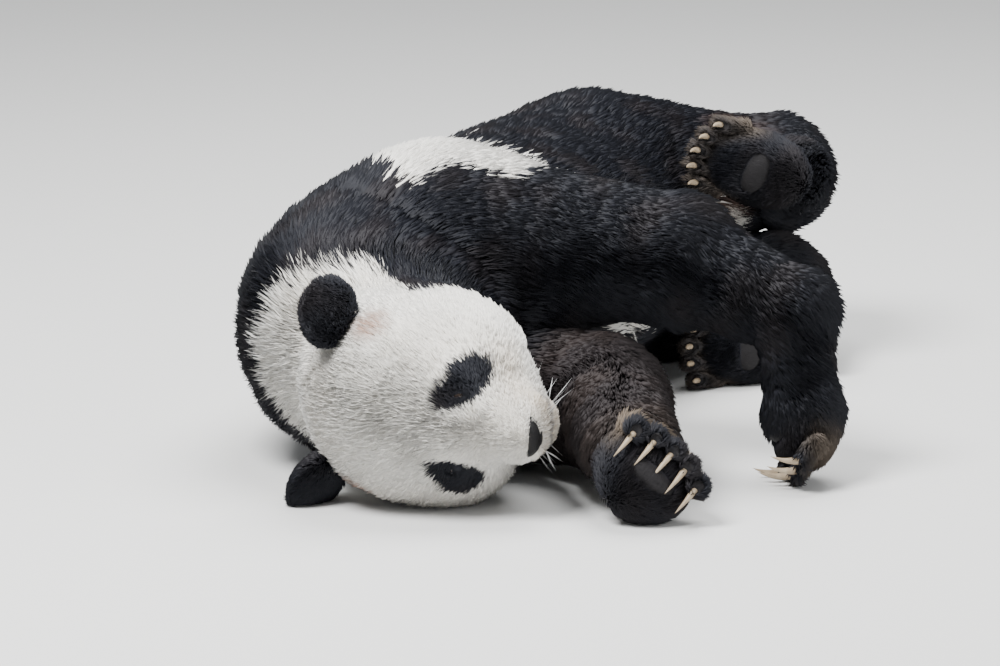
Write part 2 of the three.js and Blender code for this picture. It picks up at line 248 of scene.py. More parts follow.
class Paw:
    """A pad, five toes side by side, and where their claws start."""

    def __init__(self, centre, reach, palm, size, curl, claw_turn):
        self.centre = np.asarray(centre, float)
        self.size = size
        toes = unit(reach)
        down = np.asarray(palm, float)
        down = unit(down - toes * (down @ toes))
        across = np.cross(down, toes)
        self.basis = np.column_stack([toes, across, down])
        length, width, depth = size
        parts = [egg(self.centre, size, self.basis)]
        self.toe_radius = width * 0.27
        self.claws, self.toes = [], []
        for i in range(-2, 3):
            root = self.centre + toes * length * (0.68 - 0.05 * i * i)
            root = root + across * width * 0.41 * i
            tip = root + self.bent(curl) * length * 0.5
            parts.append(rod(root, tip, self.toe_radius, self.toe_radius * 0.86))
            angle = curl + claw_turn
            self.claws.append((tip, self.bent(angle), self.bent(angle + math.pi / 2)))
            self.toes.append((root, tip))
        self.field = grown(9, *parts)

    def bent(self, angle):
        toes, _, down = self.basis.T
        return toes * math.cos(angle) + down * math.sin(angle)


# Centre, the ways of the toes and of the palm, half sizes, curl of the toes, turn of the claws.
PAWS = {
    "paw_left": Paw([390, 158, 76], [0.1, -0.35, -0.9], [-1, -0.2, 0], [60, 60, 46], 0.65, 0.8),
    "paw_right": Paw([180, -58, 59], [0.68, 0.1, 0.72], [-0.12, -1, -0.1], [60, 64, 48], 1.35, 1.15),
    "foot_left": Paw([358, 796, 296], [-0.93, -0.2, 0.36], [0, -1, -0.1], [78, 55, 42], 0.3, 0.4),
    "foot_right": Paw([340, 742, 54], [-0.9, -0.45, 0.1], [-0.4, -0.9, 0.1], [78, 58, 44], 0.3, 0.4),
}

# Limbs, neck and tail: start, end, and the radius at each.
RODS = {
    "arm_right_fore": ([140, 166, 95], [166, 10, 82], 82, 64),
    "arm_right_upper": ([-60, 310, 100], [112, 214, 98], 104, 90),
    "arm_left_fore": ([238, 254, 268], [372, 190, 218], 80, 58),
    "arm_left_upper": ([-70, 330, 286], [206, 264, 274], 118, 88),
    "leg_left_shank": ([402, 966, 256], [418, 862, 276], 76, 54),
    "leg_left_thigh": ([140, 930, 250], [374, 990, 256], 112, 84),
    "leg_right_shank": ([398, 900, 88], [412, 800, 62], 78, 56),
    "leg_right_thigh": ([120, 920, 104], [370, 930, 94], 110, 88),
    "tail": ([160, 1128, 96], [206, 1200, 46], 64, 50),
    "neck": ([-166, 250, 166], head_point([-66, 0, -22]), 152, 126),
}

FORMS = {
    **{
        name: within(egg(ear_spot(side), EAR_RADII, ear_basis(side)), ear_spot(side), 47)
        for name, side in EAR_SIDES.items()
    },
    "head": within(head_form(), head_point([0, 0, -10]), 175),
    "trunk": grown(
        120,
        egg(CHEST_CENTRE, [262, 218, 190], TRUNK),
        egg([-4, 640, 182], [330, 226, 186], TRUNK),
        egg([104, 908, 176], [262, 216, 182], TRUNK),
    ),
    **{name: rod(*values) for name, values in RODS.items()},
    **{name: within(paw.field, paw.centre, 110) for name, paw in PAWS.items()},
}
# The upper wrist bends down over its own end, so that the paw hangs to the floor.
FORMS["arm_left_fore"] = grown(
    24, rod(*RODS["arm_left_fore"]), rod([372, 190, 218], [388, 162, 112], 58, 48)
)
NAMES = list(FORMS)
INDEX = {name: i for i, name in enumerate(NAMES)}

LIMBS = (
    ("arm_%s_upper", "arm_%s_fore", "paw_%s"),
    ("leg_%s_thigh", "leg_%s_shank", "foot_%s"),
)
# Which parts grow out of which, and over what width their crease is rounded.
JOINS = [
    ("ear_left", "head", 14),
    ("ear_right", "head", 14),
    ("head", "neck", 60),
    ("neck", "trunk", 80),
    ("tail", "trunk", 40),
]
for side, width in (("left", 90), ("right", 60)):
    for limb in LIMBS:
        upper, lower, end = (name % side for name in limb)
        JOINS += [(upper, "trunk", width), (upper, lower, 40), (lower, end, 36)]

EYE_SPOTS = {side: in_head(eye_line(FORMS["head"], side, EYE_DEPTH)) for side in (1, -1)}


def distances(p):
    return np.stack([FORMS[name](p) for name in NAMES], 1)


def joined(d):
    out = np.full(len(d), 1e6)
    for a, b, k in JOINS:
        out = np.minimum(out, soft_min(d[:, INDEX[a]], d[:, INDEX[b]], k))
    return out


def shares(d, softness=16.0):
    """How much each part counts at a point: 1 in its own middle, blended over the joins."""
    w = np.exp(-(d - d.min(1, keepdims=True)) / softness)
    return w / w.sum(1, keepdims=True)


# -------- the coat's own measures

# Part: depth of the coat over the skin, length of a tuft, its width, tufts per square centimetre.
COAT = {
    "trunk": (24, 48, 2.7, 8.5),
    "neck": (18, 32, 2.0, 17),
    "tail": (18, 40, 2.4, 12),
    "head": (6.5, 15, 1.25, 64),
    **{name: (5, 13, 1.4, 60) for name in EAR_SIDES},
    **{name: (5.5, 15, 1.5, 42) for name in PAWS},
    **{name: (16, 36, 2.2, 16) for name in RODS if name.startswith(("arm", "leg"))},
}
COAT_TABLE = np.array([COAT[name] for name in NAMES], float)
NAPE_EXTRA = 10  # what the coat gains towards the nape
BARE_DEPTH = 3.2  # the coat on the muzzle and by the eyes


def coat_depth(p, w):
    """How far the skin lies below the tips of the coat: least on the muzzle and by the eyes."""
    depth = w @ COAT_TABLE[:, 0]
    q = in_head(p)
    head = w[:, INDEX["head"]]
    nape = np.clip((-20 - q[:, 0]) / 110, 0, 1) * head
    bare = np.clip((q[:, 0] - 70) / 50, 0, 1)
    for side in (1, -1):
        gap = np.linalg.norm(q - EYE_SPOTS[side], axis=1)
        bare = np.maximum(bare, np.clip((38 - gap) / 20, 0, 1))
    return (depth + NAPE_EXTRA * nape) * (1 - bare * head) + BARE_DEPTH * bare * head


def skin_field(p):
    d = distances(p)
    skin = joined(d) + coat_depth(p, shares(d))
    return np.maximum(skin, FLOOR_GAP - p[:, 2])


# -------- surfaces from distances


def net_surface(values):
    """The closed surface where the values of a grid cross zero, one point in each cell.

    Returns the points in grid steps and the four-sided faces that join them.
    """
    shape = values.shape
    cells = tuple(n - 1 for n in shape)
    total = np.zeros(cells + (3,), np.float32)
    count = np.zeros(cells, np.float32)
    crossings = []
    for axis in range(3):
        u, v = (axis + 1) % 3, (axis + 2) % 3
        low = [slice(None)] * 3
        high = [slice(None)] * 3
        low[axis], high[axis] = slice(0, -1), slice(1, None)
        a, b = values[tuple(low)], values[tuple(high)]
        cross = (a < 0) != (b < 0)
        t = np.where(cross, a / np.where(cross, a - b, 1), 0)
        crossings.append((cross, a < 0))
        for du in (0, 1):
            for dv in (0, 1):
                part = [slice(None)] * 3
                part[u] = slice(du, du + cells[u])
                part[v] = slice(dv, dv + cells[v])
                here = cross[tuple(part)]
                count += here
                total[..., axis] += np.where(here, t[tuple(part)], 0)
                total[..., u] += here * du
                total[..., v] += here * dv
    used = count > 0
    number = np.full(cells, -1, np.int64)
    number[used] = np.arange(used.sum())
    points = np.argwhere(used) + total[used] / count[used][:, None]
    faces = []
    for axis in range(3):
        u, v = (axis + 1) % 3, (axis + 2) % 3
        cross, inner = crossings[axis]
        at = np.argwhere(cross)
        at = at[(at[:, u] > 0) & (at[:, v] > 0) & (at[:, u] < cells[u]) & (at[:, v] < cells[v])]
        ring = []
        for du, dv in ((-1, -1), (0, -1), (0, 0), (-1, 0)):
            corner = at.copy()
            corner[:, u] += du
            corner[:, v] += dv
            ring.append(number[tuple(corner.T)])
        ring = np.stack(ring, 1)
        outward = inner[tuple(at.T)]
        faces.append(np.where(outward[:, None], ring, ring[:, ::-1]))
    return points, np.concatenate(faces)


def grid_values(field, low, step, shape, block=4):
    """A field on a grid, worked out in full only in the blocks near its surface."""
    counts = [math.ceil(n / block) for n in shape]
    blocks = np.argwhere(np.ones(counts, bool))
    rough = field(low + step * (blocks * block + (block - 1) / 2)).reshape(counts)
    near = np.abs(rough) < step * block * 1.5
    values = rough.astype(np.float32)
    for axis in range(3):
        values = np.repeat(values, block, axis)
        near = np.repeat(near, block, axis)
    at = np.argwhere(near)
    values[near] = field(low + step * at)
    return values[: shape[0], : shape[1], : shape[2]]


def settle(field, p, most, rounds=2):
    """Moves points onto a field's surface, by at most `most` each round."""
    for _ in range(rounds):
        here = field(p)
        p = p - slope_of(field, p, here=here) * np.clip(here, -most, most)[:, None]
    return p


# -------- the skin's finer forms


class Eye:
    """An eyeball under nearly closed lids, in a frame of its own: out, along the slit, across."""

    def __init__(self, side):
        self.centre = eye_line(FORMS["head"], side, EYE_DEPTH)
        out = head_way([EYE_WAY[0], side * EYE_WAY[1], EYE_WAY[2]])
        slit = head_way([0.42, side * 0.2, -0.88])
        slit = unit(slit - out * (slit @ out))
        self.basis = np.column_stack([out, slit, np.cross(out, slit)])


EYES = {1: Eye(1), -1: Eye(-1)}
LID = 2.2  # thickness of a lid
SLIT_LENGTH, SLIT_HEIGHT = 9.5, 1.9  # halves of the opening between the lids
SLIT_SHIFT = 2.0  # the opening lies this far to one side of the eye's middle

# The mouth, on the left: from under the nose to the corner, in the head's frame.
MOUTH = [[154, 0, -46], [147, 19, -52], [127, 31, -61], [100, 42, -66], [78, 48, -60]]
MOUTH_HALF = 3.0  # half the width of the groove
LIPS = 4.5  # the bare dark skin reaches this far from the line of the mouth


def mouth_gap(q):
    """Distance to the line of the mouth, of a point in the head's frame."""
    q = mirrored(q)
    gap = np.full(len(q), 1e6)
    for a, b in zip(MOUTH[:-1], MOUTH[1:]):
        gap = np.minimum(gap, rod(a, b, 0, 0)(q))
    return gap


def pad_gap(p):
    """Distance to the bare pads of the paws: one wide pad on each palm and one on each toe."""
    gap = np.full(len(p), 1e6)
    for paw in PAWS.values():
        length, width, depth = paw.size
        toes, across, down = paw.basis.T
        palm = paw.centre + down * depth * 0.72 + toes * length * 0.10
        gap = np.minimum(gap, egg(palm, [length * 0.22, width * 0.54, 15], paw.basis)(p))
        for root, tip in paw.toes:
            spot = tip + paw.bent(1.4) * paw.toe_radius * 0.55
            gap = np.minimum(gap, egg(spot, [10, 7, 8], paw.basis)(p))
    return gap


def detailed_skin(p):
    """The skin with its lids, mouth and pads."""
    skin = skin_field(p)
    q = in_head(p)
    near = by_head(q).nonzero()[0]
    if len(near):
        pn, qn, s = p[near], q[near], skin[near]
        for eye in EYES.values():
            e = (pn - eye.centre) @ eye.basis
            ball = np.linalg.norm(e, axis=1)
            height = SLIT_HEIGHT * (1 - (e[:, 1] / SLIT_LENGTH) ** 2)
            opening = np.abs(e[:, 2] + SLIT_SHIFT) - height
            s = soft_min(s, ball - (EYE_RADIUS + LID), 7)
            s = carve(s, np.maximum(opening, EYE_RADIUS - 3 - e[:, 0]) + 0.3, 1.2)
        s = carve(s, mouth_gap(qn) - MOUTH_HALF, 4)
        skin[near] = s
    hands = (paw_gap(p) < 8).nonzero()[0]
    if len(hands):
        skin[hands] = soft_min(skin[hands], pad_gap(p[hands]), 5)
    return np.maximum(skin, FLOOR_GAP - p[:, 2])


def paw_gap(p):
    return np.minimum.reduce([FORMS[name](p) for name in PAWS])


# -------- markings

WHITE = np.array([0.86, 0.84, 0.79])
WARM = np.array([0.50, 0.36, 0.20])  # a warm tint: stained fur, and the fur near the floor
# The black is a little blue: a painted sheen, the sky's reflection in the coat.
BLACK = np.array([0.012, 0.013, 0.018])
BROWN = np.array([0.046, 0.029, 0.021])  # faded black
TAN = np.array([0.27, 0.21, 0.15])  # the backs of the paws
GREY = np.array([0.16, 0.15, 0.15])  # painted shade, speckled, along the crest of the head; and the dark lips
PINK = np.array([0.24, 0.15, 0.115])  # by the soles of the hind feet
ROSE = np.array([0.36, 0.20, 0.135])  # before the ears
PAD = np.array([0.011, 0.010, 0.011])

HIND = [INDEX[n] for n in NAMES if n.startswith(("leg", "foot"))]
FORE = [INDEX[n] for n in NAMES if n.startswith(("arm", "paw"))]
EARS = [INDEX[n] for n in EAR_SIDES]

BAND_FRONT = -240  # the front edge of the black band, along the spine
# The rear edge of the band: places from the belly side to the back, and at each of them
# how far along the spine the black reaches.
SADDLE_EDGE = (
    [-168, -152, -138, -115, -90, -55, -30, -10, 6, 28, 60, 110],
    [150, -10, -48, -55, -60, -80, -112, -116, -100, -66, -38, -10],
)
# Over these heights the rear edge also bounds the black of the upper foreleg.
SADDLE_HEIGHTS = (330, 360)
# The black of the hip on each flank: its middle and half sizes, along the spine and across.
HIP_SPOT, HIP_SIZE = (445, -95), (250, 235)
FLANKS_MIDDLE, FLANKS_GAP = 180, 50  # the height between the flanks, and half the white there

# An eye patch: its middle, the way of its long axis, and its half length and half width.
PATCH_SPOT = np.array([83.0, 57.5, 36.0])
PATCH_SIZE = (41.0, 24.5)
PATCH_OUT = slope_of(FORMS["head"], head_point(PATCH_SPOT)[None])[0] @ HEAD
PATCH_LONG = np.array([0.15, 0.46, -0.87])
PATCH_LONG = unit(PATCH_LONG - PATCH_OUT * (PATCH_LONG @ PATCH_OUT))
PATCH_WIDE = np.cross(PATCH_LONG, PATCH_OUT)

# The middle of the thin, rosy fur before the foot of each ear, for the left one.
EAR_BASE = np.array([-42.0, 114.0, 78.0])
# The pinkish brown fur about the soles of the hind feet: the middle and half sizes of each spot.
FURRY_SOLES = (([330, 915, 338], [85, 60, 40]), ([312, 838, 232], [62, 80, 58]))


def waves(p, length, seed, terms=5):
    """A smooth random number from -1 to 1 about each point, with waves about `length` long."""
    r = np.random.default_rng(seed)
    ways = r.normal(size=(terms, 3))
    ways = ways / np.linalg.norm(ways, axis=1)[:, None]
    rates = 2 * math.pi / (length * r.uniform(0.6, 1.6, terms))
    return np.sin(p @ (ways * rates[:, None]).T + r.uniform(0, 7, terms)).sum(1) / terms**0.5


def ramp(x, start, end):
    t = np.clip((x - start) / (end - start), 0, 1)
    return t * t * (3 - 2 * t)


def blackness(p, w, jag=None):
    """Over 0 where the coat is black, in millimetres from the edge of the marking."""
    t, q = in_trunk(p), in_head(p)
    chest = np.clip(-t[:, 1] - 60, 0, None)
    front = t[:, 0] - BAND_FRONT + 0.9 * chest
    rear = np.interp(t[:, 1], *SADDLE_EDGE) - t[:, 0]
    arm = (w[:, FORE].sum(1) - 0.5) * 120
    saddle = ramp(p[:, 2], *SADDLE_HEIGHTS)
    arm = arm * (1 - saddle) + np.minimum(arm, rear) * saddle
    band = np.maximum(np.minimum(front, rear), arm)
    band = np.minimum(band, (0.5 - w[:, INDEX["head"]]) * 80)
    flank = 1 - np.hypot(*((t[:, :2] - HIP_SPOT) / HIP_SIZE).T)
    flank = np.minimum(flank * HIP_SIZE[1], np.abs(p[:, 2] - FLANKS_MIDDLE) - FLANKS_GAP)
    flank = flank + (0 if jag is None else jag * 12)
    hip = np.maximum(flank, (w[:, HIND].sum(1) - 0.5) * 120)
    ear = (w[:, EARS].sum(1) - 0.45) * 40
    from_patch = mirrored(q) - PATCH_SPOT
    along, wide = from_patch @ PATCH_LONG, from_patch @ PATCH_WIDE
    narrow = 1 + 0.15 * along / PATCH_SIZE[0]
    patch = 1 - np.hypot(along / PATCH_SIZE[0], wide / (PATCH_SIZE[1] * narrow))
    patch = np.where(np.linalg.norm(from_patch, axis=1) < 60, patch * 26, -50)
    out = np.maximum.reduce([band, hip, ear, patch])
    ragged = 1.6 + 5.4 * (1 - np.maximum(w[:, INDEX["head"]], w[:, EARS].sum(1)))
    return out + (0 if jag is None else jag * ragged)


def coat_colour(p, w, shade, jag):
    """The coat's colour. `shade` runs from 0 at the root of a tuft to 1 at its tip; the root is
    darker, a painted shade deep in the coat.
    """
    dark = ramp(blackness(p, w, jag), -1.5, 1.5)[:, None]
    q, t = in_head(p), in_trunk(p)
    head = w[:, INDEX["head"]]
    tone = waves(p, 60, 11)[:, None]
    white = WHITE * (1 + 0.05 * tone)
    stain = 0.45 * head * ramp(q[:, 0], 95, 140) * ramp(-q[:, 2], 10, 60)
    stain += 0.30 * head * np.exp(-(((q - [100, 70, -40]) / 30) ** 2).sum(1))
    # Warmer and darker close to the floor, and in slow random patches.
    stain += 0.20 * ramp(-p[:, 2], -70, -5) + 0.10 * np.clip(waves(p, 150, 12), 0, 1)
    stain = np.clip(stain + 0.10 * (1 - shade), 0, 0.8)[:, None]
    white = white * (1 - stain) + WARM * stain
    ear_base = np.linalg.norm(mirrored(q) - EAR_BASE, axis=1)
    bare = (ramp(-ear_base, -40, -14) * np.clip(0.8 + 0.3 * jag, 0, 1))[:, None]
    white = white * (1 - bare) + ROSE * bare
    # Greyed along the middle of the forehead: painted shade of its soft fold, speckled where dark
    # skin shows through.
    ridge = ramp(q[:, 0], 5, 45) * ramp(-q[:, 0], -118, -92)
    ridge = ridge * ramp(-np.abs(q[:, 1] - 6), -36, -8)
    grey = head * ridge * np.clip(0.16 + 0.2 * jag, 0, 0.6)
    grey = np.maximum(grey, 0.7 * head * ramp(-mouth_gap(q), -6.5, -3) * ramp(q[:, 0], 95, 125))
    white = white * (1 - grey[:, None]) + GREY * grey[:, None]
    lower_arm = w[:, [INDEX["arm_right_fore"], INDEX["arm_right_upper"]]].sum(1)
    brown = 0.36 * lower_arm + 0.18 * np.clip(waves(p, 90, 13), 0, 1)
    brown = np.clip(brown * (0.4 + 0.6 * shade), 0, 0.75)[:, None]
    black = BLACK * (1 - brown) + BROWN * brown
    tan = np.zeros(len(p))
    for name, paw in PAWS.items():
        local = (p - paw.centre) @ paw.basis
        back = ramp(-local[:, 2], -24, 4) * ramp(local[:, 0], -25, 25)
        most = 0.75 if name == "paw_right" else 0.35
        tan = np.maximum(tan, w[:, INDEX[name]] * back * most)
    black = black * (1 - tan[:, None]) + TAN * tan[:, None]
    out = white * (1 - dark) + black * dark
    sole = [np.linalg.norm((p - spot) / size, axis=1) for spot, size in FURRY_SOLES]
    sole = 0.5 * ramp(-np.minimum(*sole), -1.0, -0.2)[:, None]
    out = out * (1 - sole) + PINK * sole
    # Darker towards the root of a tuft: painted shade deep in the coat.
    return out * (0.84 + 0.16 * shade[:, None])


# -------- the way the coat lies

ROD_WAYS = {name: unit(np.subtract(v[1], v[0])) for name, v in RODS.items()}
ROD_WAYS["neck"] = -ROD_WAYS["neck"]
EAR_WAYS = {name: ear_basis(side)[:, 2] for name, side in EAR_SIDES.items()}
# How much the coat hangs, on the limbs where it isn't HANG_ELSEWHERE.
HANG = {
    "arm_right_fore": 0.45,
    "arm_right_upper": 0.35,
    "arm_left_upper": 0.3,
    "arm_left_fore": 0.35,
}
HANG_ELSEWHERE = 0.15


def lie(p, w):
    """The way that the coat lies over each point: back from the nose, and down the limbs."""
    out = np.zeros_like(p)
    down = np.array([0, 0, -1.0])
    for i, name in enumerate(NAMES):
        if name == "head":
            way = unit(p - head_point([150, 0, -14]))
        elif name == "trunk":
            t = in_trunk(p)
            along = TRUNK[:, 0] - 0.25 * TRUNK[:, 1] + 0.12 * down
            shoulder = (0.9 * ramp(-t[:, 0], 60, 200) * ramp(-t[:, 1], -120, 10))[:, None]
            way = along * (1 - shoulder) + np.array([0.92, 0.16, -0.3]) * shoulder
        elif name in EAR_WAYS:
            way = EAR_WAYS[name]
        elif name in PAWS:
            way = PAWS[name].basis[:, 0] + 0.2 * down
        else:
            way = ROD_WAYS[name] + HANG.get(name, HANG_ELSEWHERE) * down
        out += w[:, i : i + 1] * unit(way)
    return unit(out)


# -------- the skin's unwrap

MAP_MARGIN, MAP_SPAN = 0.03, 0.94  # the share of a cell left free at each side, and used
# Each part is unwrapped round its own long axis onto one cell of the map.
MAP_CELLS = {
    "trunk": (0.0, 0.0, 1.0, 0.38),
    "neck": (0.0, 0.38, 0.34, 0.58),
    "head": (0.34, 0.38, 0.74, 0.58),
    "tail": (0.74, 0.38, 1.0, 0.48),
    "ear_left": (0.74, 0.48, 0.87, 0.58),
    "ear_right": (0.87, 0.48, 1.0, 0.58),
}
others = [name for name in NAMES if name not in MAP_CELLS]
for i, name in enumerate(others):
    column, row = i % 4, i // 4
    MAP_CELLS[name] = (column / 4, 0.58 + row * 0.14, column / 4 + 0.25, 0.72 + row * 0.14)

AXES = {
    "trunk": (np.array([-10.0, 640.0, 180.0]), TRUNK[:, [1, 2, 0]], 560.0, 205.0),
    "head": (head_point([0, 0, -10]), HEAD[:, [1, 2, 0]], 150.0, 120.0),
}
for name, side in EAR_SIDES.items():
    AXES[name] = (ear_spot(side), ear_basis(side), 44.0, 30.0)
for name, (a, b, ra, rb) in RODS.items():
    a, b = np.asarray(a, float), np.asarray(b, float)
    basis = basis_of([0.31, 0.23, 0.92], b - a)
    AXES[name] = ((a + b) / 2, basis, np.linalg.norm(b - a) / 2 + (ra + rb) / 2, (ra + rb) / 2)
for name, paw in PAWS.items():
    AXES[name] = (paw.centre, paw.basis[:, [1, 2, 0]], paw.size[0] * 1.2, paw.size[1])


def unwrap(p, part):
    """Where points belong on the map: round the axis of their part, and from pole to pole."""
    uv = np.zeros((len(p), 2))
    for i, name in enumerate(NAMES):
        here = part == i
        if not here.any():
            continue
        centre, basis, length, width = AXES[name]
        q = (p[here] - centre) @ basis
        around = np.arctan2(q[:, 1], q[:, 0]) / (2 * math.pi) + 0.5
        along = np.arctan2(np.hypot(q[:, 0], q[:, 1]) / width, q[:, 2] / length) / math.pi
        u0, v0, u1, v1 = MAP_CELLS[name]
        uv[here, 0] = u0 + (u1 - u0) * (MAP_MARGIN + MAP_SPAN * around)
        uv[here, 1] = v0 + (v1 - v0) * (MAP_MARGIN + MAP_SPAN * along)
    return uv


def strand_place(p, w):
    """A place, in metres, that changes slowly along the coat and fast across it."""
    out = np.zeros_like(p)
    for i, name in enumerate(NAMES):
        centre, basis, length, width = AXES[name]
        q = (p - centre) @ basis
        r = np.hypot(q[:, 0], q[:, 1])
        around = q[:, :2] / np.maximum(r, 2)[:, None] * width
        along = np.arctan2(r / width, q[:, 2] / length) * length * 0.11
        out += w[:, i : i + 1] * np.column_stack([around, along])
    return out / 1000


# -------- meshes

eye_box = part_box("eye_left")
SHIFT = np.array([(a + b) / 2 * 1000 for a, b in zip(*eye_box)]) - EYES[1].centre
SHIFT[2] = 0


def to_row(p):
    return (p + SHIFT) / 1000


def placed(name, data):
    obj = bpy.data.objects.new(name, data)
    bpy.context.scene.collection.objects.link(obj)
    return obj


def mesh_object(name, points, faces, colours=None, uv=None):
    """A mesh from arrays: points in the drawing frame, faces all of one size, a map by corner."""
    faces = np.asarray(faces, np.int32)
    size = faces.shape[1]
    mesh = bpy.data.meshes.new(name)
    mesh.vertices.add(len(points))
    mesh.vertices.foreach_set("co", to_row(points).astype(np.float32).ravel())
    mesh.loops.add(faces.size)
    mesh.loops.foreach_set("vertex_index", faces.ravel())
    mesh.polygons.add(len(faces))
    mesh.polygons.foreach_set("loop_start", np.arange(0, faces.size, size, dtype=np.int32))
    mesh.polygons.foreach_set("loop_total", np.full(len(faces), size, np.int32))
    mesh.polygons.foreach_set("use_smooth", np.ones(len(faces), bool))
    mesh.update(calc_edges=True)
    if colours is not None:
        layer = mesh.color_attributes.new("coat", "FLOAT_COLOR", "POINT")
        rgba = np.column_stack([colours, np.ones(len(colours))]).astype(np.float32)
        layer.data.foreach_set("color", rgba.ravel())
    if uv is not None:
        layer = mesh.uv_layers.new(name="OFBake")
        layer.data.foreach_set("uv", uv.astype(np.float32).ravel())
    obj = placed(name, mesh)
    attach(obj, "root")
    return obj


def refine(points, tris, zone):
    """Halves every edge whose two ends are both in the zone."""
    n = len(points)
    edges = np.sort(tris[:, [[0, 1], [1, 2], [2, 0]]].reshape(-1, 2), axis=1)
    keys, inverse = np.unique(edges[:, 0] * n + edges[:, 1], return_inverse=True)
    ends = np.column_stack([keys // n, keys % n])
    marked = zone[ends].all(1)
    middle = np.full(len(keys), -1)
    middle[marked] = n + np.arange(marked.sum())
    points = np.concatenate([points, points[ends[marked]].mean(1)])
    m = middle[inverse].reshape(-1, 3)
    count = (m >= 0).sum(1)
    out = [tris[count == 0]]
    (a, b, c), (ab, bc, ca) = tris[count == 3].T, m[count == 3].T
    out += [np.column_stack(t) for t in ((a, ab, ca), (ab, b, bc), (ca, bc, c), (ab, bc, ca))]
    for _ in range(3):
        one = (count == 1) & (m[:, 0] >= 0)
        (a, b, c), ab = tris[one].T, m[one, 0]
        out += [np.column_stack(t) for t in ((a, ab, c), (ab, b, c))]
        two = (count == 2) & (m[:, 2] < 0)
        (a, b, c), ab, bc = tris[two].T, m[two, 0], m[two, 1]
        out += [np.column_stack(t) for t in ((ab, b, bc), (a, ab, bc), (a, bc, c))]
        tris, m = np.roll(tris, -1, axis=1), np.roll(m, -1, axis=1)
    return points, np.concatenate(out)


def surface(field, low, high, step):
    """Points and triangles of the surface where a field is zero inside a box."""
    shape = tuple(int(n) for n in np.ceil((high - low) / step) + 1)
    points, quads = net_surface(grid_values(field, low, step, shape))
    points = settle(field, points * step + low, step * 0.4)
    return points, np.concatenate([quads[:, [0, 1, 2]], quads[:, [0, 2, 3]]])


STEP = 7.5
MOUTH_ZONE, EYE_ZONE, PAD_ZONE, LID_ZONE = 16, 34, 8, 24  # how far the finer skin reaches
low = np.array([-380.0, -150.0, -7.5])
high = np.array([500.0, 1280.0, 440.0])
points, tris = surface(skin_field, low, high, STEP)


def eye_gap(p):
    return np.minimum(*[np.linalg.norm(p - eye.centre, axis=1) for eye in EYES.values()])


# The skin is made finer in three rounds: face and paws, then mouth, eyes and pads, then lids.
for rounds, most in enumerate((3.0, 1.6, 1.0)):
    q = in_head(points)
    face = (q[:, 0] > 10) & by_head(q)
    if rounds == 0:
        fine = face | (paw_gap(points) < 6)
    elif rounds == 1:
        fine = face & ((mouth_gap(q) < MOUTH_ZONE) | (eye_gap(points) < EYE_ZONE))
        fine |= pad_gap(points) < PAD_ZONE
    else:
        fine = eye_gap(points) < LID_ZONE
    old = len(points)
    points, tris = refine(points, tris, fine)
    moved = np.concatenate([fine.nonzero()[0], np.arange(old, len(points))])
    points[moved] = settle(detailed_skin, points[moved], most, 3)
    lids = (eye_gap(points) < LID_ZONE + 2).nonzero()[0]
    points[lids] = settle(detailed_skin, points[lids], 1.2, 9)
print("skin", len(tris), "triangles, shift", SHIFT.round(2))

skin_shares = shares(distances(points))
skin_normals = slope_of(skin_field, points)
skin_part = skin_shares.argmax(1)


def skin_map():
    """The skin's own map, by corner. A face that crosses the seam of its part stays whole."""
    corners = points[tris]
    part = skin_part[tris[:, 0]]
    uv = unwrap(corners.reshape(-1, 3), np.repeat(part, 3)).reshape(-1, 3, 2)
    cell = np.array([MAP_CELLS[name][2] - MAP_CELLS[name][0] for name in NAMES])[part][:, None]
    u = uv[:, :, 0]
    wraps = (u.max(1) - u.min(1) > 0.5 * cell[:, 0])[:, None]
    behind = wraps & (u - u.min(1, keepdims=True) < 0.4 * cell)
    uv[:, :, 0] = np.where(behind, u + MAP_SPAN * cell, u)
    return uv


pads = pad_gap(points) < 1.0
plain = np.zeros(len(points))
# The skin takes the coat's colour a third of the way up a tuft, so it carries some of that painted
# shade of the roots.
colours = coat_colour(points, skin_shares, plain + 0.35, plain)
colours[pads] = PAD
rims = (mouth_gap(in_head(points)) < LIPS) & by_head(in_head(points))
colours[rims] = PAD * 1.3
skin = mesh_object("skin", points, tris, colours, skin_map())
layer = skin.data.attributes.new("strand", "FLOAT_VECTOR", "POINT")
layer.data.foreach_set("vector", strand_place(points, skin_shares).astype(np.float32).ravel())
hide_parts(*NAMES)

# -------- the coat

MOST_TUFTS = 236_000
PIECE_TUFTS = 33_000
LOCK_WIDTHS, LOCK_SIZES = 4.2, (7, 18)  # a lock in widths of a tuft, and its least and most
DRAW = 0.45  # how far a tip is drawn to the middle of its lock
SUNK = -1.0  # how deep a tuft may run into the skin
LASH_LINE = 13.5  # no tufts grow nearer to the middle of an eyeball


def cell_random(cells, seed):
    """A random number from 0 to 1 for each whole-numbered cell."""
    mixed = (cells * np.array([73856093, 19349663, 83492791])).sum(1) + seed * 7919
    mixed = (mixed ^ (mixed >> 13)) * 1274126177
    return ((mixed ^ (mixed >> 16)) & 0xFFFF) / 65535.0


def tuft_roots():
    """Where the tufts grow: more to the square centimetre where they are small."""
    a, b, c = (points[tris[:, k]] for k in range(3))
    area = np.linalg.norm(np.cross(b - a, c - a), axis=1) / 200  # square centimetres
    density = (skin_shares @ COAT_TABLE[:, 3])[tris].mean(1)
    hidden = (points[:, 2][tris].max(1) < FLOOR_GAP + 1.5) & (skin_normals[tris[:, 0], 2] < -0.9)
    weight = area * density * np.where(hidden, 0.0, 1.0)
    weight[pads[tris].any(1)] = 0
    weight *= min(1.0, MOST_TUFTS / weight.sum())
    count = np.floor(weight + rng.random(len(weight))).astype(int)
    which = np.repeat(np.arange(len(tris)), count)
    r1, r2 = np.sqrt(rng.random(len(which))), rng.random(len(which))
    bary = np.column_stack([1 - r1, r1 * (1 - r2), r1 * r2])
    root = (points[tris[which]] * bary[:, :, None]).sum(1)
    normal = unit((skin_normals[tris[which]] * bary[:, :, None]).sum(1))
    return root, normal


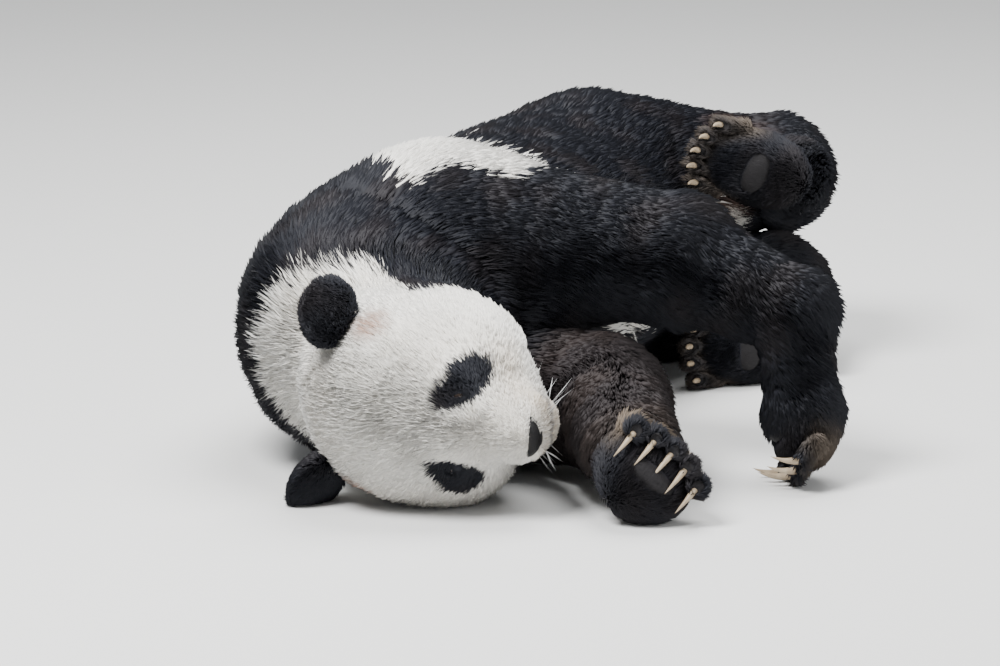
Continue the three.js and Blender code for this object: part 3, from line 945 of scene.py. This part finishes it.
root, normal = tuft_roots()
w = shares(distances(root))
depth = coat_depth(root, w)
measures = w @ COAT_TABLE
length, width = measures[:, 1], measures[:, 2]
q = in_head(root)
muzzle = ramp(q[:, 0], 70, 130) * w[:, INDEX["head"]]
length = length * (1 - 0.55 * muzzle)
width = width * (1 - 0.25 * muzzle)
near_eye = ramp(-eye_gap(root), -30, -14)
length = length * (1 - 0.5 * near_eye)
width *= 1.0
way = lie(root, w)
way = unit(way - normal * (way * normal).sum(1)[:, None])
sideways = np.cross(normal, way)

# Tufts in one lock lean together, and their tips draw in towards the lock's own middle.
lock = np.clip(width * LOCK_WIDTHS, *LOCK_SIZES)[:, None]
wander = np.column_stack([waves(root, 40, seed) for seed in (21, 22, 23)])
cells = np.floor(root / lock + 0.35 * wander).astype(np.int64)
middle = (cells + 0.5) * lock
swing = 0.26 * waves(root, 110, 24) + 0.26 * (cell_random(cells, 1) - 0.5)
swing += 0.12 * rng.normal(size=len(root))
swing = np.clip(swing, -1.0, 1.0)[:, None]
way = way * np.cos(swing) + sideways * np.sin(swing)
sideways = np.cross(normal, way)
draw = ((middle - root) * sideways).sum(1) * DRAW
length = length * (0.78 + 0.3 * cell_random(cells, 2) + 0.25 * rng.random(len(root)))
rise = depth * (0.62 + 0.25 * cell_random(cells, 3) + 0.22 * rng.random(len(root)))
rise *= 1 + 0.5 * (rng.random(len(root)) < 0.12) * w[:, INDEX["head"]]
rise = np.minimum(rise, length * 0.85)
reach = np.sqrt(np.maximum(length**2 - rise**2, 1))

base = root - normal * 1.5
tip = root + way * reach[:, None] + normal * rise[:, None] + sideways * draw[:, None]
mid = root + way * (reach * 0.46)[:, None] + normal * (rise * 0.80 + width * 0.10)[:, None]
mid = mid + sideways * (draw * 0.25)[:, None]
tip[:, 2] = np.maximum(tip[:, 2], 1.2 + rng.random(len(tip)))
mid[:, 2] = np.maximum(mid[:, 2], 2.2)

# A tuft that would run into another part of the body is left out.
kept = (detailed_skin(tip) > SUNK) & (detailed_skin(mid) > SUNK)
kept &= eye_gap(root) > LASH_LINE
by_paw = (paw_gap(root) < 10).nonzero()[0]
kept[by_paw] &= pad_gap(tip[by_paw]) > 1.0
jag = np.clip(rng.normal(size=len(root)) * 0.8, -2, 2)
dark = blackness(root, w, jag) > 0

half = (width * 0.5)[:, None]
corners = np.stack(
    [
        base - sideways * half,
        base + sideways * half,
        base + normal * (width * 0.55)[:, None] - way * (width * 0.3)[:, None],
        mid,
        tip,
    ],
    1,
)
TUFT = np.array([[0, 2, 1], [0, 1, 4], [0, 3, 2], [1, 2, 3], [0, 4, 3], [1, 3, 4]])
root_part = w.argmax(1)
root_map = unwrap(root, root_part)
PATCH = np.array([[-1, -1], [1, -1], [0, -0.4], [0, 0.3], [0, 1]]) * 0.0015

GROUPS = {
    "head": [INDEX["head"], *EARS],
    "body": [INDEX[name] for name in ("neck", "trunk", "tail")],
    "fore": FORE,
    "hind": HIND,
}


def tuft_faces(count):
    """The triangles of so many tufts, each of them with five points of its own."""
    return (TUFT[None] + 5 * np.arange(count)[:, None, None]).reshape(-1, 3)


def tuft_loops(uv):
    """The corners of those triangles on the map: each tuft is a small patch about its root."""
    return (uv[:, None] + PATCH)[:, TUFT.ravel()].reshape(-1, 2)


coat_pieces = []
total = 0
for group, members in GROUPS.items():
    inside = np.isin(root_part, members) & kept
    for shade_name, chosen in (("white", inside & ~dark), ("black", inside & dark)):
        ids = chosen.nonzero()[0]
        ids = ids[np.argsort(root[ids, 1], kind="stable")]
        for k, part in enumerate(np.array_split(ids, max(1, math.ceil(len(ids) / PIECE_TUFTS)))):
            if not len(part):
                continue
            n = len(part)
            tone = (0.92 + 0.16 * rng.random(n))[:, None]
            # Roots darker than tips: painted shade deep in the coat.
            at_root, at_tip = (
                coat_colour(root[part], w[part], np.full(n, shade), jag[part]) * tone
                for shade in (0.0, 1.0)
            )
            middling = at_root * 0.3 + at_tip * 0.7
            colours = np.stack([at_root, at_root, at_root, middling, at_tip], 1)
            name = f"coat_{group}_{shade_name}_{k + 1}"
            piece = mesh_object(
                name,
                corners[part].reshape(-1, 3),
                tuft_faces(n),
                colours.reshape(-1, 3),
                tuft_loops(root_map[part]),
            )
            coat_pieces.append((piece, shade_name))
            total += n * len(TUFT)
print("coat", total, "triangles in", len(coat_pieces), "pieces")

# -------- whiskers

WHISKERS = 7  # on each side of the muzzle
WHISKER_HALF = 0.22
count = 2 * WHISKERS
side = np.repeat([1.0, -1.0], WHISKERS)
start = np.column_stack(
    [
        rng.uniform(118, 150, count),
        side * rng.uniform(22, 44, count),
        rng.uniform(-72, -40, count),
    ]
)
start = settle(detailed_skin, head_point(start), 12, 4)
out_way = slope_of(detailed_skin, start)
fan = head_way([-0.05, 0, -0.45]) + side[:, None] * head_way([0, 0.5, 0])
fan = fan + 0.2 * rng.normal(size=(count, 3))
long_way = unit(0.6 * out_way + fan)
wide_way = unit(np.cross(long_way, out_way))
whisker_length = rng.uniform(26, 52, count)[:, None]
stem = start - out_way
bow = stem + long_way * whisker_length * 0.5 + out_way * whisker_length * 0.07
whisker_corners = np.stack(
    [
        stem - wide_way * WHISKER_HALF,
        stem + wide_way * WHISKER_HALF,
        stem + out_way * 0.25,
        bow,
        stem + long_way * whisker_length,
    ],
    1,
)
whiskers = mesh_object(
    "whiskers",
    whisker_corners.reshape(-1, 3),
    tuft_faces(count),
    np.full((5 * count, 3), 0.6),
    tuft_loops(unwrap(start, np.full(count, INDEX["head"]))),
)
coat_pieces.append((whiskers, "white"))

# -------- eyes, nose and claws


def ring_faces(rings, sides):
    """Triangles over rings of points, closed at each end by one of the two points after them."""
    i, j = np.meshgrid(np.arange(rings - 1), np.arange(sides), indexing="ij")
    a, b = i * sides + j, i * sides + (j + 1) % sides
    quads = np.stack([a, b, b + sides, a + sides], -1).reshape(-1, 4)
    this, following = np.arange(sides), (np.arange(sides) + 1) % sides
    last, total = (rings - 1) * sides, rings * sides
    root_cap = np.column_stack([following, this, np.full(sides, total)])
    end_cap = np.column_stack([last + this, last + following, np.full(sides, total + 1)])
    return np.concatenate([quads[:, [0, 1, 2]], quads[:, [0, 2, 3]], root_cap, end_cap])


def ball_object(name, centre, radius, rings=23, sides=32):
    down = np.linspace(0, math.pi, rings + 2)[1:-1]
    round_about = np.linspace(0, 2 * math.pi, sides, endpoint=False)
    v, u = np.meshgrid(down, round_about, indexing="ij")
    ring = np.stack([np.sin(v) * np.cos(u), np.sin(v) * np.sin(u), np.cos(v)], -1)
    ball = np.concatenate([ring.reshape(-1, 3), [[0, 0, 1], [0, 0, -1]]])
    return mesh_object(name, centre + ball * radius, ring_faces(rings, sides)[:, ::-1])


eye_pieces = []
for name, side in (("eye_left", 1), ("eye_right", -1)):
    piece = ball_object("eyeball_" + name[4:], EYES[side].centre, EYE_RADIUS)
    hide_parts(name)
    eye_pieces.append(piece)


def nose_field(p):
    """The nose pad: it faces forwards and down, and its sides bend back round the muzzle."""
    q = mirrored(in_head(p))
    q[:, 0] += 9 * (q[:, 1] / 24) ** 2
    form = egg([154, 0, -24], [8.5, 30, 16], turn("Y", 33))(q)
    form = carve(form, rod([166, 9, -27], [152, 13, -27], 2.2, 3.2)(q), 3)
    form = carve(form, rod([160, 14, -26], [157, 24, -21], 2.0, 1.2)(q), 2)
    return carve(form, rod([168, 0, -30], [158, 0, -44], 0.5, 0.9)(q), 2)


nose_middle = head_point([150, 0, -24])
nose_points, nose_tris = surface(nose_field, nose_middle - 40, nose_middle + 40, 1.8)
nose = mesh_object("nose_pad", nose_points, nose_tris)
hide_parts("nose")

# Length of a claw, its radius at the root, and how far its tip bends aside.
CLAW_SPEC = {"paw": (36, 5.5, 12), "foot": (28, 5.0, 8)}
CLAW_ROOT = 9  # how far a claw starts inside its toe
CLAW_RINGS, CLAW_SIDES = 10, 12


def claw_points(start, way, aside, length, radius, bend):
    """Rings of points along a bent cone, then its root and its tip."""
    t = np.linspace(0, 1, CLAW_RINGS)[:, None]
    r = radius * (1 - t) ** 0.75 + 0.25
    angle = np.linspace(0, 2 * math.pi, CLAW_SIDES, endpoint=False)[None]
    spot = start + way * (length * t) + aside * (bend * t * t)
    wide = aside * (r * np.cos(angle))[..., None]
    high = np.cross(aside, way) * (0.8 * r * np.sin(angle))[..., None]
    ring = (spot[:, None] + wide + high).reshape(-1, 3)
    return np.concatenate([ring, start[None], spot[-1:] + way])


claw_pieces = []
for name, paw in PAWS.items():
    spec = CLAW_SPEC[name.split("_")[0]]
    reach = paw.toe_radius * 0.86 - CLAW_ROOT
    sets = [claw_points(toe + way * reach, way, aside, *spec) for toe, way, aside in paw.claws]
    faces = ring_faces(CLAW_RINGS, CLAW_SIDES)
    faces = np.concatenate([faces + k * len(sets[0]) for k in range(len(sets))])
    piece = mesh_object("claws_" + name, np.concatenate(sets), faces)
    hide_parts(*[f"claw_{name}_{k}" for k in range(1, 6)])
    claw_pieces.append(piece)

# -------- materials


def new_material(name, **sockets):
    material = bpy.data.materials.new(name)
    material.use_nodes = True
    shader = material.node_tree.nodes["Principled BSDF"]
    for key, value in sockets.items():
        shader.inputs[key.replace("_", " ")].default_value = value
    return material, material.node_tree, shader


def noise(tree, scale, detail=4.0, stretch=None, place=None):
    """A grain over a piece's own space, or over another place given for each point."""
    out = place
    if out is None:
        out = tree.nodes.new("ShaderNodeTexCoord").outputs["Object"]
    if stretch:
        mapping = tree.nodes.new("ShaderNodeMapping")
        mapping.inputs["Scale"].default_value = stretch
        tree.links.new(out, mapping.inputs["Vector"])
        out = mapping.outputs["Vector"]
    texture = tree.nodes.new("ShaderNodeTexNoise")
    texture.inputs["Scale"].default_value = scale
    texture.inputs["Detail"].default_value = detail
    tree.links.new(out, texture.inputs["Vector"])
    return texture.outputs["Fac"]


def stretched(tree, value, low, high):
    node = tree.nodes.new("ShaderNodeMapRange")
    node.inputs["To Min"].default_value = low
    node.inputs["To Max"].default_value = high
    tree.links.new(value, node.inputs["Value"])
    return node.outputs["Result"]


def times(tree, colour, value):
    node = tree.nodes.new("ShaderNodeVectorMath")
    node.operation = "SCALE"
    tree.links.new(colour, node.inputs[0])
    tree.links.new(value, node.inputs["Scale"])
    return node.outputs["Vector"]


def bump(tree, shader, height, strength, distance):
    node = tree.nodes.new("ShaderNodeBump")
    node.inputs["Strength"].default_value = strength
    node.inputs["Distance"].default_value = distance
    tree.links.new(height, node.inputs["Height"])
    tree.links.new(node.outputs["Normal"], shader.inputs["Normal"])


def speckled(tree, shader, dark, light, grain):
    """Mixes the base colour from a dark and a light one by a grain."""
    tint = tree.nodes.new("ShaderNodeMix")
    tint.data_type = "RGBA"
    tint.inputs["A"].default_value = (*dark, 1)
    tint.inputs["B"].default_value = (*light, 1)
    tree.links.new(grain, tint.inputs["Factor"])
    tree.links.new(tint.outputs["Result"], shader.inputs["Base Color"])


def coat_material(name, roughness, sheen, specular):
    material, tree, shader = new_material(
        name,
        Roughness=roughness,
        Sheen_Weight=sheen,
        Sheen_Roughness=0.4,
        Specular_IOR_Level=specular,
    )
    mark = tree.nodes.new("ShaderNodeAttribute")
    mark.attribute_name = "coat"
    grain = stretched(tree, noise(tree, 160, 2.0), 0.86, 1.12)
    tree.links.new(times(tree, mark.outputs["Color"], grain), shader.inputs["Base Color"])
    return material, tree, shader


white_coat = coat_material("white coat", 0.75, 0.2, 0.3)[0]
black_coat = coat_material("black coat", 0.6, 0.0, 0.2)[0]
skin_material, tree, shader = coat_material("skin", 0.8, 0.0, 0.25)
strand = tree.nodes.new("ShaderNodeAttribute")
strand.attribute_name = "strand"
hairs = noise(tree, 620, 3.0, place=strand.outputs["Vector"])
bump(tree, shader, hairs, 0.7, 0.0025)

eye_material, tree, shader = new_material("eye", Roughness=0.12, Coat_Weight=0.5, Coat_Roughness=0.05)
speckled(tree, shader, (0.012, 0.007, 0.004), (0.045, 0.022, 0.010), noise(tree, 400))

nose_material, tree, shader = new_material("nose leather", Roughness=0.45, Specular_IOR_Level=0.12)
speckled(tree, shader, (0.005, 0.005, 0.006), (0.012, 0.011, 0.011), noise(tree, 260))
bump(tree, shader, noise(tree, 900, 2.0), 0.6, 0.0012)

claw_material, tree, shader = new_material("claw horn", Roughness=0.42, Specular_IOR_Level=0.5)
streaks = noise(tree, 120, 3.0, (1.0, 1.0, 0.4))
speckled(tree, shader, (0.20, 0.14, 0.085), (0.50, 0.41, 0.29), streaks)
bump(tree, shader, noise(tree, 500, 2.0, (1.0, 1.0, 0.3)), 0.3, 0.0006)

skin.data.materials.append(skin_material)
for piece, shade_name in coat_pieces:
    piece.data.materials.append(white_coat if shade_name == "white" else black_coat)
for piece in eye_pieces:
    piece.data.materials.append(eye_material)
nose.data.materials.append(nose_material)
for piece in claw_pieces:
    piece.data.materials.append(claw_material)

# -------- camera, floor and lights

AIM = np.array([0.0, 0.0, 229.0])
ELEVATION = 12
DISTANCE = 6500
LENS = 187.2

tilt = math.radians(ELEVATION)
eye_point = AIM + DISTANCE * np.array([0, -math.cos(tilt), math.sin(tilt)])
camera_data = bpy.data.cameras.new("camera")
camera_data.lens = LENS
camera_data.sensor_width = 36
camera_data.clip_end = 60
camera = placed("camera", camera_data)
camera.location = to_row(eye_point)
camera.rotation_euler = (math.radians(90 - ELEVATION), 0, 0)
bpy.context.scene.camera = camera

floor_mesh = bpy.data.meshes.new("floor")
FLOOR = 9.0  # half its side, in metres
floor_corners = [(x * FLOOR, y * FLOOR, 0) for x, y in ((-1, -1), (1, -1), (1, 1), (-1, 1))]
floor_mesh.from_pydata(floor_corners, [], [(0, 1, 2, 3)])
floor = placed("floor", floor_mesh)
floor_material, tree, shader = new_material("pale floor", Roughness=0.85)
shader.inputs["Base Color"].default_value = (0.70, 0.70, 0.69, 1)
floor_mesh.materials.append(floor_material)


def light(name, place, power, size):
    data = bpy.data.lights.new(name, "AREA")
    data.shape = "DISK"
    data.size = size
    data.energy = power
    lamp = placed(name, data)
    lamp.location = place
    aim = Vector((0.0, -0.1, 0.2)) - lamp.location
    lamp.rotation_euler = aim.to_track_quat("-Z", "Y").to_euler()


light("key", (-1.4, -2.0, 3.4), 330, 1.8)
light("top", (0.6, 0.8, 3.6), 190, 2.6)
light("fill", (2.8, -2.0, 1.4), 40, 2.5)

world = bpy.data.worlds.new("studio")
world.use_nodes = True
background = world.node_tree.nodes["Background"]
background.inputs["Color"].default_value = (0.86, 0.88, 0.9, 1)
background.inputs["Strength"].default_value = 0.58
bpy.context.scene.world = world
